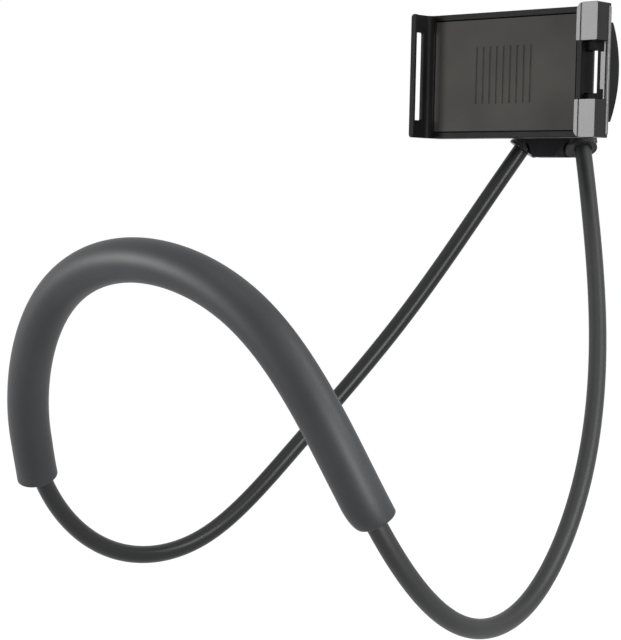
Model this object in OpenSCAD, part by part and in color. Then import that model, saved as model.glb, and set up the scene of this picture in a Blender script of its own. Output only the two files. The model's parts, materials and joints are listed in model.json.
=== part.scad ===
// Neck phone holder: a bendable loop that rests on the neck, with a foam sleeve at its back, and a
// sprung cradle for a phone on a ball joint at its front.
// The origin is the point of the foam sleeve that touches the back of the neck. X runs to the side,
// Y runs forward from the neck to the phone, and Z points up. The phone faces the user, towards -Y.

/* [Neck loop] */
// Half of the loop's width, at the middle of the tube
loop_half_w = 127; // [118:1:136]
// From the neck forward to the mouths of the hub
loop_reach = 326; // [310:1:340]
// From the neck up to the mouths of the hub
loop_rise = 65; // [55:1:75]
// From the neck down to the lowest stretch of the arms
loop_drop = 180; // [165:1:195]

/* [Tube and pad] */
// Outer diameter of the soft sheath
tube_d = 10; // [9:0.5:11]
// Diameter of the bendable core wire
core_d = 4; // [3:0.5:5]
// Diameter of the foam pad
pad_d = 22; // [20:1:25]
// Length of the foam pad along the tube
pad_len = 387; // [360:1:405]
// How far the foam pad has slid to the left
pad_slip = 5.5; // [0:0.5:8]
// Rounding of the foam pad's ends
pad_edge = 3.5; // [2:0.5:4]

/* [Hub] */
// Angle between each tube and the hub's middle line
splay = 24; // [21:1:27]
// Angle that the hub leans away from the user
hub_lean = 24; // [20:1:26]
// Half of the distance between the two mouths
mouth_x = 23; // [22:0.5:25]
// How far the mouths lie below the ball
mouth_drop = 35.5; // [34:0.5:38]
// Length of tube that the hub holds
socket_depth = 20; // [18:0.5:21]
// Half of the thickness of the hub's plate
plate_half = 6.5; // [6:0.25:7.5]
// Wall of the hub's shells
hub_wall = 2; // [1.6:0.1:2.4]
// Radius of the round top of the hub
hub_top_r = 11; // [10.5:0.5:12]
// How far the flange on each mouth stands out past the hub's barrel
flange_proud = 0.6; // [0.4:0.1:1]
// How much further the flange reaches towards the middle of the hub
flange_long = 2.2; // [1:0.2:2.4]
// From the mouths down to the level underside of the hub
hub_flat_drop = 5.4; // [5:0.2:6]
// Thickness of the flange on each mouth
flange_t = 2.2; // [1.8:0.2:3]

/* [Ball joint] */
// Diameter of the ball
ball_d = 18; // [17:0.5:18.5]
// Diameter of the neck behind the ball
neck_d = 7; // [6:0.5:7.5]
// From the centre of the ball to the middle plane of the hub
stud_reach = 26; // [26:0.5:29]
// From the rim of the tray back to the centre of the ball
ball_back = 33; // [32:0.5:36]
// Wall of the cup that grips the ball
cup_wall = 2.2; // [2:0.1:2.6]
// Wall of the socket around the cup
socket_wall = 2.5; // [2.2:0.1:3]
// Wall of the lock nut
nut_wall = 3.4; // [3:0.1:4]
// Radius of the socket's base
base_r = 20.5; // [20:0.5:22]

/* [Tray] */
// Height of the cradle
tray_h = 75; // [72:1:80]
// From the ball to the outer face of the fixed jaw
fixed_end = 66; // [64:1:70]
// From the ball to the open end of the tray
open_end = 49.2; // [47:0.2:50]
// Thickness of the tray with its cover
tray_t = 13.5; // [13.5:0.1:15]
// Wall of the tray
tray_wall = 2.4; // [2:0.1:2.8]
// Thickness of the tray's floor
floor_t = 1.8; // [1.6:0.1:2]
// Width of the rim around the recess
rim_w = 3.6; // [3:0.1:4.5]
// Depth of the recess
recess_d = 1.9; // [1.7:0.1:2.1]
// Thickness of the anti-slip sheet
grip_t = 1.5; // [1.2:0.1:1.6]
// Thickness of the rear cover
cover_t = 2; // [1.8:0.1:2.4]

/* [Fixed jaw] */
// How far the fixed jaw stands in front of the rim
jaw_depth = 15.6; // [13:0.2:17]
// Radius of the cove between the fixed jaw and the rim
cove_r = 4; // [3:0.5:5]
// Height of the slot in the fixed jaw
slot_h = 53.5; // [48:0.5:58]
// Width of the slot in the fixed jaw
slot_w = 7.6; // [6:0.2:8]
// Thickness of the fixed jaw in front of its slot
slot_front = 2; // [1.6:0.1:2.6]
// How far the lip of the fixed jaw reaches inward
fixed_lip = 1.4; // [1:0.1:2]

/* [Slider] */
// From the ball to the outer face of the sliding jaw
slide_end = 68; // [66:1:70]
// Furthest travel of the sliding jaw
travel = 65; // [50:1:66]
// Distance between the middles of the two rails
rail_pitch = 38; // [37:0.5:39]
// Width of a rail
rail_w = 13; // [12:0.5:13.5]
// Length of rail that stays in the tray when the jaw is fully out
rail_hold = 22.4; // [20:0.2:24]
// How far the D-shaped head behind the jaw stops short of the tray's height, above and below
head_short = 9; // [8:0.5:10]
// How far the middle of the head bulges out past its corners
head_bulge = 5; // [4:0.2:6]
// How far the head lies in from the jaw's outer face
head_in = 1.5; // [1:0.5:3]
// Length of the head along the slide
head_len = 10; // [9:0.5:11]
// Depth of the notch in the head, between the rails, for the fingertips
finger_notch = 3.2; // [2:0.2:4]
// Height of one lobe of the jaw
lobe_h = 21; // [19:0.5:22]
// Thickness of a lobe from its gripping face to its outer face
lobe_w = 11.3; // [10.5:0.1:11.5]
// How far the sliding jaw stands in front of the rim
lobe_depth = 12.5; // [11:0.5:14]
// How far the lip of the sliding jaw reaches inward
lobe_lip = 3.2; // [2:0.2:3.4]
// Wall of a lobe
lobe_wall = 1.8; // [1.6:0.1:2]

/* [Springs] */
// Outer diameter of a spring
spring_d = 5; // [4.5:0.1:5.2]
// Diameter of the spring's wire
wire_d = 0.8; // [0.6:0.1:0.9]
// Number of curls of a spring
curls = 18; // [12:1:20]

/* [Fits] */
// Running gap between pieces that turn on each other
turn_gap = 0.1; // [0.06:0.02:0.1]
// Gap between pieces that are fitted into each other
fit_gap = 0.15; // [0.1:0.05:0.2]
// Gap on each side of a sliding rail
slide_gap = 0.3; // [0.2:0.05:0.4]

/* [Hidden] */
$fn = 64;

// Overrun of every cut past the face that it cuts
over = 1;

// Radii worked out from the diameters above
tube_r = tube_d / 2;
core_r = core_d / 2;
pad_r = pad_d / 2;
ball_r = ball_d / 2;
neck_r = neck_d / 2;

// Directions in the hub's own frame: the tubes leave their mouths along this line
mouth_dir = [sin(splay), 0, -cos(splay)];

// Place of the ball, worked back from the mouths of the hub
ball_y = loop_reach - stud_reach * cos(hub_lean) + mouth_drop * sin(hub_lean);
ball_z = loop_rise + stud_reach * sin(hub_lean) + mouth_drop * cos(hub_lean);

// Route of the tube, from the right mouth to the middle of the pad. Each row is one control point
// of the curve, as shares of the loop's half width, reach and drop.
route_shares = [
    [0.59, 0.845, -0.26],
    [0.85, 0.665, -0.67],
    [0.94, 0.47, -1],
    [1.01, 0.25, -0.99],
    [1, 0.09, -0.72],
    [0.85, 0.015, -0.36],
    [0.54, -0.02, -0.07]
];
// Length over which the tube leaves the hub nearly straight
lead = 40;
// Rings of the tube in each stretch between two control points
rings_per_stretch = 5;
// Sides of the tube, of the core wire and of the foam pad
tube_sides = 12;
core_sides = 8;
pad_sides = 16;

function unit(v) = v / norm(v);
function lean(v) = [v[0], v[1] * cos(hub_lean) + v[2] * sin(hub_lean),
    v[2] * cos(hub_lean) - v[1] * sin(hub_lean)];

mouth = [mouth_x, loop_reach, loop_rise];
mouth_out = lean(mouth_dir);
route_free = [for (s = route_shares)
    [s[0] * loop_half_w, s[1] * loop_reach, s[2] * loop_drop]];
route_last = route_free[len(route_free) - 1];
// The middle control point puts the front of the pad exactly at the origin
route_mid = [0, -pad_r * 3 / 2 - route_last[1] / 2, -route_last[2] / 2];
route_ctrl = concat(
    [mouth - lead * mouth_out, mouth, mouth + lead * mouth_out],
    route_free,
    [route_mid, [-route_last[0], route_last[1], route_last[2]]]);

// A point and a direction on a uniform cubic spline: four control points blended by smooth weights
function spline_point(c, i, t) = (pow(1 - t, 3) * c[i] + (3 * pow(t, 3) - 6 * pow(t, 2) + 4) * c[i + 1]
    + (3 * t * (1 + t - pow(t, 2)) + 1) * c[i + 2] + pow(t, 3) * c[i + 3]) / 6;
function spline_dir(c, i, t) = unit((3 * pow(t, 2) - 4 * t) * c[i + 1] - pow(1 - t, 2) * c[i]
    + (2 * t + 1 - 3 * pow(t, 2)) * c[i + 2] + pow(t, 2) * c[i + 3]);

stretches = len(route_ctrl) - 3;
route_steps = stretches * rings_per_stretch;
// Half of the route from the middle of the pad out to the right mouth, as places and directions
half_places = [for (k = [0:route_steps]) let (
    n = route_steps - k, i = min(floor(n / rings_per_stretch), stretches - 1))
    spline_point(route_ctrl, i, n / rings_per_stretch - i)];
half_dirs = [for (k = [0:route_steps]) let (
    n = route_steps - k, i = min(floor(n / rings_per_stretch), stretches - 1))
    -spline_dir(route_ctrl, i, n / rings_per_stretch - i)];
// Length along the half route up to each place
half_runs = [for (k = 0, run = 0; k <= route_steps;
    k = k + 1, run = run + (k <= route_steps ? norm(half_places[k] - half_places[k - 1]) : 0)) run];
echo(loop_length = 2 * (half_runs[route_steps] + socket_depth));

// The side direction of each ring comes from one slanting line that the tube never runs along, and
// its mirror image serves the left half
ring_line = unit([7, 5, 5]);
function flip(v) = [-v[0], v[1], v[2]];
function ring(place, dir, r, sides) = let (
    side = unit(cross(dir, ring_line)),
    up = cross(side, dir))
    [for (a = [0:sides - 1]) place + r * (cos(a * 360 / sides) * side + sin(a * 360 / sides) * up)];

// Rings from the left end to the right end, where the left half is given as its mirror image
function whole_rings(left, right) = concat(
    [for (k = [len(left) - 1:-1:1]) [for (p = left[k]) flip(p)]], right);
function tube_half_rings(r, sides) = concat(
    [for (k = [0:route_steps]) ring(half_places[k], half_dirs[k], r, sides)],
    [ring(mouth - socket_depth * mouth_out, -mouth_out, r, sides)]);
function tube_rings(r, sides) = whole_rings(tube_half_rings(r, sides), tube_half_rings(r, sides));

// A closed skin over rings that follow each other, where the last ring joins the first
module ring_loop(rings) {
    sides = len(rings[0]);
    count = len(rings);
    polyhedron(
        points = [for (r = rings) for (p = r) p],
        faces = [for (k = [0:count - 1]) for (a = [0:sides - 1]) let (
            b = (a + 1) % sides,
            j = ((k + 1) % count) * sides,
            i = k * sides)
            for (f = [[i + a, j + b, i + b], [i + a, j + a, j + b]]) f]);
}

// A closed skin over rings that follow each other, with a flat lid of triangles at both ends
module ring_rod(rings) {
    sides = len(rings[0]);
    last = (len(rings) - 1) * sides;
    polyhedron(
        points = [for (r = rings) for (p = r) p],
        faces = concat(
            [for (k = [0:len(rings) - 2]) for (a = [0:sides - 1]) let (
                b = (a + 1) % sides,
                i = k * sides,
                j = i + sides)
                for (f = [[i + a, j + b, i + b], [i + a, j + a, j + b]]) f],
            [for (a = [1:sides - 2]) [0, a, a + 1]],
            [for (a = [1:sides - 2]) [last, last + a + 1, last + a]]));
}

// A tube with a bore: its outer rings run out and its inner rings run back
module ring_pipe(outer, inner) {
    ring_loop(concat(outer, [for (k = [len(inner) - 1:-1:0]) inner[k]]));
}

function table(values, axis) = [for (k = [0:route_steps]) [half_runs[k], values[k][axis]]];
function along(values, run) = [for (axis = [0:2]) lookup(run, table(values, axis))];

// Steps of the rounding at the pad's ends
pad_steps = 4;
// Rings of one half of the pad, which follow a quarter circle at its end
function pad_half_rings(r, edge, half) = concat(
    [for (k = [0:route_steps]) if (half_runs[k] < half - 2 * pad_edge)
        ring(half_places[k], half_dirs[k], r, pad_sides)],
    [for (s = [0:pad_steps]) let (
        a = s * 90 / pad_steps,
        run = half - pad_edge * (1 - sin(a)))
        ring(along(half_places, run), unit(along(half_dirs, run)), r - edge * (1 - cos(a)), pad_sides)]);
function pad_rings(r, edge) = whole_rings(
    pad_half_rings(r, edge, pad_len / 2 + pad_slip), pad_half_rings(r, edge, pad_len / 2 - pad_slip));

module neck_pad() {
    color("#4b4b4d")
    ring_pipe(pad_rings(pad_r, pad_edge), pad_rings(tube_r + 2 * fit_gap, 0));
}

module gooseneck_sheath() {
    color("#2c2c2e")
    ring_pipe(tube_rings(tube_r, tube_sides), tube_rings(core_r + fit_gap * 2, tube_sides));
}

module gooseneck_core() {
    color("#9a9c9e")
    ring_rod(tube_rings(core_r, core_sides));
}

// The hub's own frame: the ball is its origin, Y points back to the hub and Z up along its plate
module in_hub() {
    translate([0, ball_y, ball_z])
    rotate([-hub_lean, 0, 0])
    children();
}

// The frame of a mouth: its face is the plane z = 0 and the tube leaves along +Z
module in_mouth(hand) {
    translate([hand * mouth_x, stud_reach, -mouth_drop])
    rotate([0, hand * (180 - splay), 0])
    children();
}

// A cylinder along +Y from y0 to y1
module rod_y(r, y0, y1) {
    translate([0, y0, 0])
    rotate([-90, 0, 0])
    cylinder(r = r, h = y1 - y0);
}

// A plate along +Y from y0 to y1, whose outline is drawn with x to the side and y up
module slab_y(y0, y1) {
    translate([0, y1, 0])
    rotate([90, 0, 0])
    linear_extrude(y1 - y0)
    children();
}

ferrule_t = 1;
ferrule_len = 8;
barrel_r = tube_r + ferrule_t + hub_wall;
nose_len = 4;
nose_wall = 1.7;
nose_r = tube_r + fit_gap + nose_wall;
flange_r = barrel_r + flange_proud;
barrel_end = socket_depth + ferrule_t + fit_gap + hub_wall;
boss_half = barrel_r + hub_wall / 4;
plate_inset = hub_wall / 2;
front_y = stud_reach - boss_half;
parting_y = stud_reach;
hub_flat_x = mouth_x / 4;
hub_flat_z = -mouth_drop - hub_flat_drop;
hub_screw_z = -mouth_drop * 2 / 3;
screw_r = 1.5;
screw_head_r = 2.75;
screw_head_t = 1.6;
cross_w = 0.6;
shank_r = 3;
stud_flange_r = 6.5;
stud_flange_t = 2.5;
stud_nut_r = 6;
stud_nut_t = 5;
nut_pocket_gap = 1;
nut_pocket_r = stud_nut_r + nut_pocket_gap;
nut_seat_t = 3;

// A point on a mouth's middle line, moved sideways by a radius: used for the plate's outline
function barrel_point(run, side) = [
    mouth_x - run * sin(splay) + side * cos(splay),
    -mouth_drop + run * cos(splay) + side * sin(splay)];

// The plate passes the inner end of each flange at this distance
flange_clear = 0.3;
plate_side = [
    [hub_flat_x, hub_flat_z - plate_half],
    barrel_point(flange_t + flange_clear, -flange_r - flange_long - flange_clear),
    barrel_point(nose_len + plate_inset, plate_inset - barrel_r),
    barrel_point(nose_len + plate_inset, barrel_r - plate_inset),
    barrel_point(barrel_end, barrel_r - plate_inset),
    [hub_top_r - plate_inset, 0]
];

module hub_plate_outline() {
    polygon(concat(plate_side,
        [for (k = [len(plate_side) - 1:-1:0]) [-plate_side[k][0], plate_side[k][1]]]));
}

// Everything below the underside of the hub, which is level although the hub leans
module below_hub() {
    reach = mouth_x + flange_r + flange_long + over;
    translate([0, parting_y, hub_flat_z])
    rotate([hub_lean, 0, 0])
    translate([-reach, -reach, -reach])
    cube([2 * reach, 2 * reach, reach]);
}

module hub_solid() {
    slab_y(parting_y - plate_half, parting_y + plate_half)
    hub_plate_outline();
    rod_y(hub_top_r, parting_y - boss_half, parting_y + boss_half);
    for (hand = [-1, 1])
    in_mouth(hand) {
        translate([0, 0, -barrel_end])
        cylinder(r = barrel_r, h = barrel_end - nose_len);
        translate([0, 0, -nose_len - over])
        cylinder(r = nose_r, h = nose_len - flange_t + over);
    }
}

// The pocket between the two barrels, left out round the screw post
pocket_half = plate_half - hub_wall;
pocket_shares = [[0.46, -0.98], [0.2, -0.5]];
module hub_pocket() {
    slab_y(parting_y - pocket_half, parting_y + pocket_half)
    difference() {
        polygon([for (s = [-1, 1]) for (k = [0, 1]) let (p = pocket_shares[s < 0 ? k : 1 - k])
            [s * p[0] * mouth_x, p[1] * mouth_drop]]);
        translate([0, hub_screw_z])
        circle(r = screw_head_r + hub_wall / 2);
    }
}

module hub_hollow() {
    hub_pocket();
    rod_y(shank_r + turn_gap, parting_y - boss_half - over, parting_y);
    rod_y(nut_pocket_r, front_y + nut_seat_t, parting_y + boss_half - nut_seat_t);
    for (hand = [-1, 1])
    in_mouth(hand) {
        translate([0, 0, -socket_depth])
        cylinder(r = tube_r + fit_gap, h = socket_depth + over);
        translate([0, 0, -barrel_end + hub_wall])
        cylinder(r = tube_r + ferrule_t + fit_gap, h = ferrule_len + ferrule_t + 2 * fit_gap);
    }
    translate([0, 0, hub_screw_z]) {
        rod_y(screw_r + turn_gap, parting_y - plate_half - over, parting_y + pocket_half);
        rod_y(screw_head_r + fit_gap, parting_y - plate_half - over, parting_y - plate_half + screw_head_t);
    }
}

// Everything of the hub on one side of the parting plane
module hub_half(side) {
    reach = boss_half + over;
    wide = 2 * (mouth_x + mouth_drop);
    difference() {
        intersection() {
            hub_solid();
            translate([-wide / 2, side < 0 ? parting_y - reach : parting_y, -wide])
            cube([wide, reach, 2 * wide]);
        }
        hub_hollow();
        below_hub();
    }
}

module hub_front_shell() {
    color("#151517")
    in_hub()
    hub_half(-1);
}

module hub_rear_shell() {
    color("#151517")
    in_hub()
    hub_half(1);
}

module collar(hand) {
    color("#1b1b1d")
    in_hub()
    difference() {
        in_mouth(hand)
        difference() {
            union() {
                translate([0, 0, -flange_t])
                linear_extrude(flange_t) {
                    for (x = [0, hand * flange_long])
                    translate([x, 0])
                    circle(r = flange_r);
                    translate([min(0, hand * flange_long), -flange_r])
                    square([flange_long, 2 * flange_r]);
                }
                translate([0, 0, -nose_len])
                cylinder(r = barrel_r, h = nose_len);
            }
            translate([0, 0, -nose_len - over])
            cylinder(r = nose_r + fit_gap, h = nose_len - flange_t + over);
            translate([0, 0, -nose_len])
            cylinder(r = tube_r + fit_gap, h = nose_len + over);
        }
        below_hub();
    }
}

module collar_left() {
    collar(-1);
}

module collar_right() {
    collar(1);
}

module ferrule(hand) {
    color("#b0b2b5")
    in_hub()
    in_mouth(hand)
    translate([0, 0, -socket_depth - ferrule_t])
    difference() {
        cylinder(r = tube_r + ferrule_t, h = ferrule_len + ferrule_t);
        translate([0, 0, ferrule_t])
        cylinder(r = tube_r + fit_gap / 2, h = ferrule_len + over);
    }
}

module ferrule_left() {
    ferrule(-1);
}

module ferrule_right() {
    ferrule(1);
}

module hub_screw() {
    color("#8d8f92")
    in_hub()
    translate([0, 0, hub_screw_z])
    difference() {
        union() {
            rod_y(screw_head_r, parting_y - plate_half, parting_y - plate_half + screw_head_t);
            rod_y(screw_r, parting_y - plate_half, parting_y + pocket_half - fit_gap);
        }
        for (a = [0, 90])
        rotate([0, a, 0])
        translate([-screw_head_r / 2, parting_y - plate_half - over, -cross_w / 2])
        cube([screw_head_r, over + screw_head_t / 2, cross_w]);
    }
}

module ball_stud() {
    color("#3a3b3e")
    in_hub() {
        sphere(r = ball_r);
        rod_y(neck_r, 0, front_y - turn_gap);
        rod_y(stud_flange_r, front_y - turn_gap - stud_flange_t, front_y - turn_gap);
        rod_y(shank_r, front_y - turn_gap - stud_flange_t, parting_y + stud_nut_t / 2);
    }
}

module stud_nut() {
    color("#a6a8ab")
    in_hub()
    difference() {
        translate([0, front_y + nut_seat_t + turn_gap, 0])
        rotate([-90, 0, 0])
        cylinder(r = stud_nut_r, h = stud_nut_t, $fn = 6);
        rod_y(shank_r + turn_gap / 2, front_y, parting_y + stud_nut_t + over);
    }
}

// The cradle's frame: its origin is the ball, so its rim lies at y = -ball_back
module in_cradle() {
    translate([0, ball_y, ball_z])
    children();
}

seat_r = ball_r + turn_gap;
cup_r = seat_r + cup_wall;
cup_floor_y = -seat_r - cup_wall;
// The ball rests on a cone in front of it and is held by the cone of the lip behind it
seat_angle = 45;
lip_angle = 24;
// Depth of the lip's cone past the line where it touches the ball
lip_len = 0.5;
cup_lip_y = seat_r * sin(lip_angle) + lip_len * cos(lip_angle);
lip_edge_r = seat_r * cos(lip_angle) - lip_len * sin(lip_angle);
// Where a cone that touches a circle of radius seat_r at an angle meets the bore's own radius
function cone_start(a) = seat_r * (1 - cos(a)) / sin(a);
cup_flat_r = neck_r / 2;
cup_flat_y = -(seat_r - cup_flat_r * sin(seat_angle)) / cos(seat_angle);
cup_profile = [
    [0, cup_floor_y],
    [cup_r, cup_floor_y],
    [cup_r, cup_lip_y],
    [lip_edge_r, cup_lip_y],
    [seat_r, cone_start(lip_angle)],
    [seat_r, -cone_start(90 - seat_angle)],
    [cup_flat_r, cup_flat_y],
    [0, cup_flat_y]
];
bore_r = cup_r + turn_gap;
thread_r = bore_r + socket_wall;
nut_bore_r = thread_r + turn_gap;
nut_r = nut_bore_r + nut_wall;
rim_y = -ball_back;
cover_back_y = rim_y + tray_t;
base_t = 3;
cup_slit_w = 1.2;
cup_slits = 4;

module ball_cup() {
    color("#d8d8d4")
    in_cradle()
    difference() {
        rotate([-90, 0, 0])
        rotate_extrude()
        polygon(cup_profile);
        for (a = [0:cup_slits - 1])
        rotate([0, a * 360 / cup_slits, 0])
        translate([0, -cup_lip_y / 2, -cup_slit_w / 2])
        cube([cup_r + over, cup_lip_y * 3 / 2 + over, cup_slit_w]);
    }
}

socket_screw_ring = thread_r + (base_r - thread_r) / 2;
socket_screw_r = 1.1;
socket_screw_head_r = 2.1;
socket_screw_head_t = 1.3;
socket_screw_count = 4;

// Calls its children once at each screw of the socket's base
module at_socket_screws() {
    for (a = [0:socket_screw_count - 1])
    rotate([0, 45 + a * 360 / socket_screw_count, 0])
    translate([socket_screw_ring, 0, 0])
    children();
}

module ball_socket() {
    color("#1d1d1f")
    in_cradle()
    difference() {
        union() {
            rod_y(base_r, cover_back_y, cover_back_y + base_t);
            rod_y(thread_r, cover_back_y, cup_lip_y - 4 * fit_gap);
        }
        rod_y(bore_r, cup_floor_y - turn_gap, cup_lip_y + over);
        rod_y(cup_r - socket_wall / 2, cover_back_y - over, cup_floor_y - turn_gap - base_t);
        at_socket_screws()
        rod_y(socket_screw_r + turn_gap, cover_back_y - over, cover_back_y + base_t + over);
    }
}

module socket_screws() {
    color("#8d8f92")
    in_cradle()
    at_socket_screws() {
        rod_y(socket_screw_r, cover_back_y - cover_t, cover_back_y + base_t);
        rod_y(socket_screw_head_r, cover_back_y + base_t, cover_back_y + base_t + socket_screw_head_t);
    }
}

nut_clear = 1;
nut_front_y = cover_back_y + base_t + socket_screw_head_t + nut_clear;
nut_lip_y = cup_lip_y + turn_gap;
nut_lip_t = 2.6;
nut_open_gap = 0.6;
nut_open_r = ball_r + nut_open_gap;
flutes = 12;
flute_r = 1.6;

module lock_nut() {
    color("#232325")
    in_cradle()
    difference() {
        rod_y(nut_r, nut_front_y, nut_lip_y + nut_lip_t);
        rod_y(nut_bore_r, nut_front_y - over, nut_lip_y);
        rod_y(nut_open_r, nut_front_y, nut_lip_y + nut_lip_t + over);
        for (a = [0:flutes - 1])
        rotate([0, a * 360 / flutes, 0])
        translate([nut_r + flute_r / 2, 0, 0])
        rod_y(flute_r, nut_front_y - over, nut_lip_y + nut_lip_t + over);
    }
}

tray_half = tray_h / 2;
cover_front_y = cover_back_y - cover_t;
floor_front_y = rim_y + recess_d;
floor_back_y = floor_front_y + floor_t;
corner_r = 2;
wall_in_x = -fixed_end + tray_wall;
recess_x0 = wall_in_x + cove_r;
recess_x1 = open_end - rim_w;
recess_half = tray_half - rim_w;
rail_half = rail_w / 2;
rail_in = travel - open_end + rail_hold;
rail_y0 = floor_back_y + slide_gap;
rail_y1 = cover_front_y - slide_gap;
rib_t = 1.4;
rib_x0 = -rail_in + rail_half;
pillar_r = 2.6;
pillar_sink = 0.6;
pillar_in = pillar_r + tray_wall - pillar_sink;
cover_screw_r = 1.1;
cover_head_r = 2;
cover_head_t = cover_t / 2;
post_r = 1.25;
post_step = 17;
post_x = -rail_in - post_step;
post_seat_t = 1.5;
peg_inset = 11.4;
peg_x = open_end - peg_inset;
fixed_front_y = rim_y - jaw_depth;
fixed_lip_t = 1.5;

// A rectangle with round corners, from x0 to x1 and from z0 to z1
module round_box(x0, x1, z0, z1, r) {
    translate([x0 + r, z0])
    square([x1 - x0 - 2 * r, z1 - z0]);
    translate([x0, z0 + r])
    square([x1 - x0, z1 - z0 - 2 * r]);
    for (x = [x0 + r, x1 - r], z = [z0 + r, z1 - r])
    translate([x, z])
    circle(r = r);
}

// Calls its children once at each screw of the rear cover
module at_cover_screws() {
    for (x = [-fixed_end + pillar_in, open_end - pillar_in], z = [-tray_half + pillar_in, tray_half - pillar_in])
    translate([x, 0, z])
    children();
}

// Calls its children on the middle line of each rail
module at_rails() {
    for (side = [-1, 1])
    translate([0, 0, side * rail_pitch / 2])
    children();
}

module tray_shell() {
    difference() {
        union() {
            slab_y(rim_y, cover_front_y)
            round_box(-fixed_end, open_end, -tray_half, tray_half, corner_r);
            slab_y(fixed_front_y, rim_y + over)
            intersection() {
                round_box(-fixed_end, open_end, -tray_half, tray_half, corner_r);
                translate([-fixed_end, -tray_half])
                square([tray_wall + cove_r, tray_h]);
            }
        }
        // The space in front of the rim, behind which the cove rounds into the fixed jaw
        translate([wall_in_x, fixed_front_y + fixed_lip_t, -tray_half - over])
        cube([cove_r + over, jaw_depth - fixed_lip_t - cove_r, tray_h + 2 * over]);
        translate([wall_in_x + fixed_lip, fixed_front_y - over, -tray_half - over])
        cube([cove_r + over, fixed_lip_t + 2 * over, tray_h + 2 * over]);
        translate([wall_in_x + cove_r, rim_y - cove_r, -tray_half - over])
        cylinder(r = cove_r, h = tray_h + 2 * over);
        // The recess for the anti-slip sheet
        slab_y(rim_y - over, floor_front_y)
        round_box(recess_x0, recess_x1, -recess_half, recess_half, corner_r / 2);
        // The space behind the floor
        slab_y(floor_back_y, cover_front_y + over)
        round_box(wall_in_x, open_end - tray_wall, -tray_half + tray_wall, tray_half - tray_wall, corner_r / 2);
        // The long slot in the fixed jaw
        translate([-fixed_end - over, fixed_front_y + slot_front, 0])
        rotate([0, 90, 0])
        linear_extrude(tray_wall + 2 * over)
        round_box(-slot_h / 2, slot_h / 2, 0, slot_w, corner_r / 2);
        // The two doorways of the rails
        at_rails()
        translate([open_end - tray_wall - over, floor_back_y, -rail_half - slide_gap])
        cube([tray_wall + 2 * over, cover_front_y - floor_back_y + over, rail_w + 2 * slide_gap]);
    }
}

module tray_body() {
    color("#1a1a1c")
    in_cradle()
    difference() {
        union() {
            tray_shell();
            at_cover_screws()
            rod_y(pillar_r, floor_back_y - floor_t / 2, cover_front_y);
            for (side = [-1, 1])
            at_rails()
            translate([rib_x0, floor_back_y - floor_t / 2, side * (rail_half + slide_gap + rib_t / 2) - rib_t / 2])
            cube([open_end - tray_wall / 2 - rib_x0, cover_front_y - floor_back_y + floor_t / 2, rib_t]);
            at_rails()
            translate([post_x, 0, 0])
            rod_y(post_r + rib_t, floor_back_y - floor_t / 2, floor_back_y + post_seat_t);
        }
        at_cover_screws()
        rod_y(cover_screw_r + turn_gap / 2, floor_back_y, cover_front_y + over);
        at_rails()
        translate([post_x, 0, 0])
        rod_y(post_r + turn_gap / 2, floor_back_y, floor_back_y + post_seat_t + over);
    }
}

// Straight grooves across the middle of the anti-slip sheet
grip_gap = 0.5;
groove_w = 1.4;
groove_pitch = 5;
grooves = 9;
groove_h = recess_half;
groove_d = 0.6;

module grip_pad() {
    color("#494745")
    in_cradle()
    difference() {
        slab_y(floor_front_y - grip_t, floor_front_y)
        round_box(recess_x0 + grip_gap, recess_x1 - grip_gap,
            -recess_half + grip_gap, recess_half - grip_gap, corner_r / 2);
        for (k = [0:grooves - 1])
        translate([(recess_x0 + recess_x1 - groove_w) / 2 + (k - (grooves - 1) / 2) * groove_pitch,
            floor_front_y - grip_t - over, -groove_h / 2])
        cube([groove_w, over + groove_d, groove_h]);
    }
}

module back_cover() {
    color("#202022")
    in_cradle()
    difference() {
        slab_y(cover_front_y, cover_back_y)
        round_box(-fixed_end, open_end, -tray_half, tray_half, corner_r);
        at_cover_screws() {
            rod_y(cover_screw_r + turn_gap, cover_front_y - over, cover_back_y + over);
            rod_y(cover_head_r + fit_gap, cover_back_y - cover_head_t, cover_back_y + over);
        }
        at_socket_screws()
        rod_y(socket_screw_r + turn_gap / 2, cover_front_y - over, cover_back_y + over);
    }
}

module cover_screws() {
    color("#8d8f92")
    in_cradle()
    at_cover_screws() {
        rod_y(cover_screw_r, floor_back_y + post_seat_t, cover_back_y - cover_head_t);
        rod_y(cover_head_r, cover_back_y - cover_head_t, cover_back_y);
    }
}

head_h = tray_h - 2 * head_short;
head_end = slide_end - head_in;
head_x0 = head_end - head_len;
head_step = 0.8;
head_y0 = rim_y + head_step;
head_y1 = cover_back_y - slide_gap;
head_r = (pow(head_h / 2, 2) + pow(head_bulge, 2)) / (2 * head_bulge);
groove_t = 1.7;
rail_groove_w = spring_d + 5 * slide_gap;
spring_y = rail_y1 - spring_d / 2 - slide_gap;
jaw_screw_side = 3.4;
jaw_screw_x = slide_end - lobe_w + jaw_screw_side;
jaw_screw_in = 5;
jaw_screw_z = tray_half - lobe_h + jaw_screw_in;
jaw_screw_head_r = 2.4;
jaw_screw_head_t = 1.6;
jaw_screw_len = 12;

module at_jaw_screws() {
    for (side = [-1, 1])
    translate([jaw_screw_x, 0, side * jaw_screw_z])
    children();
}

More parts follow.
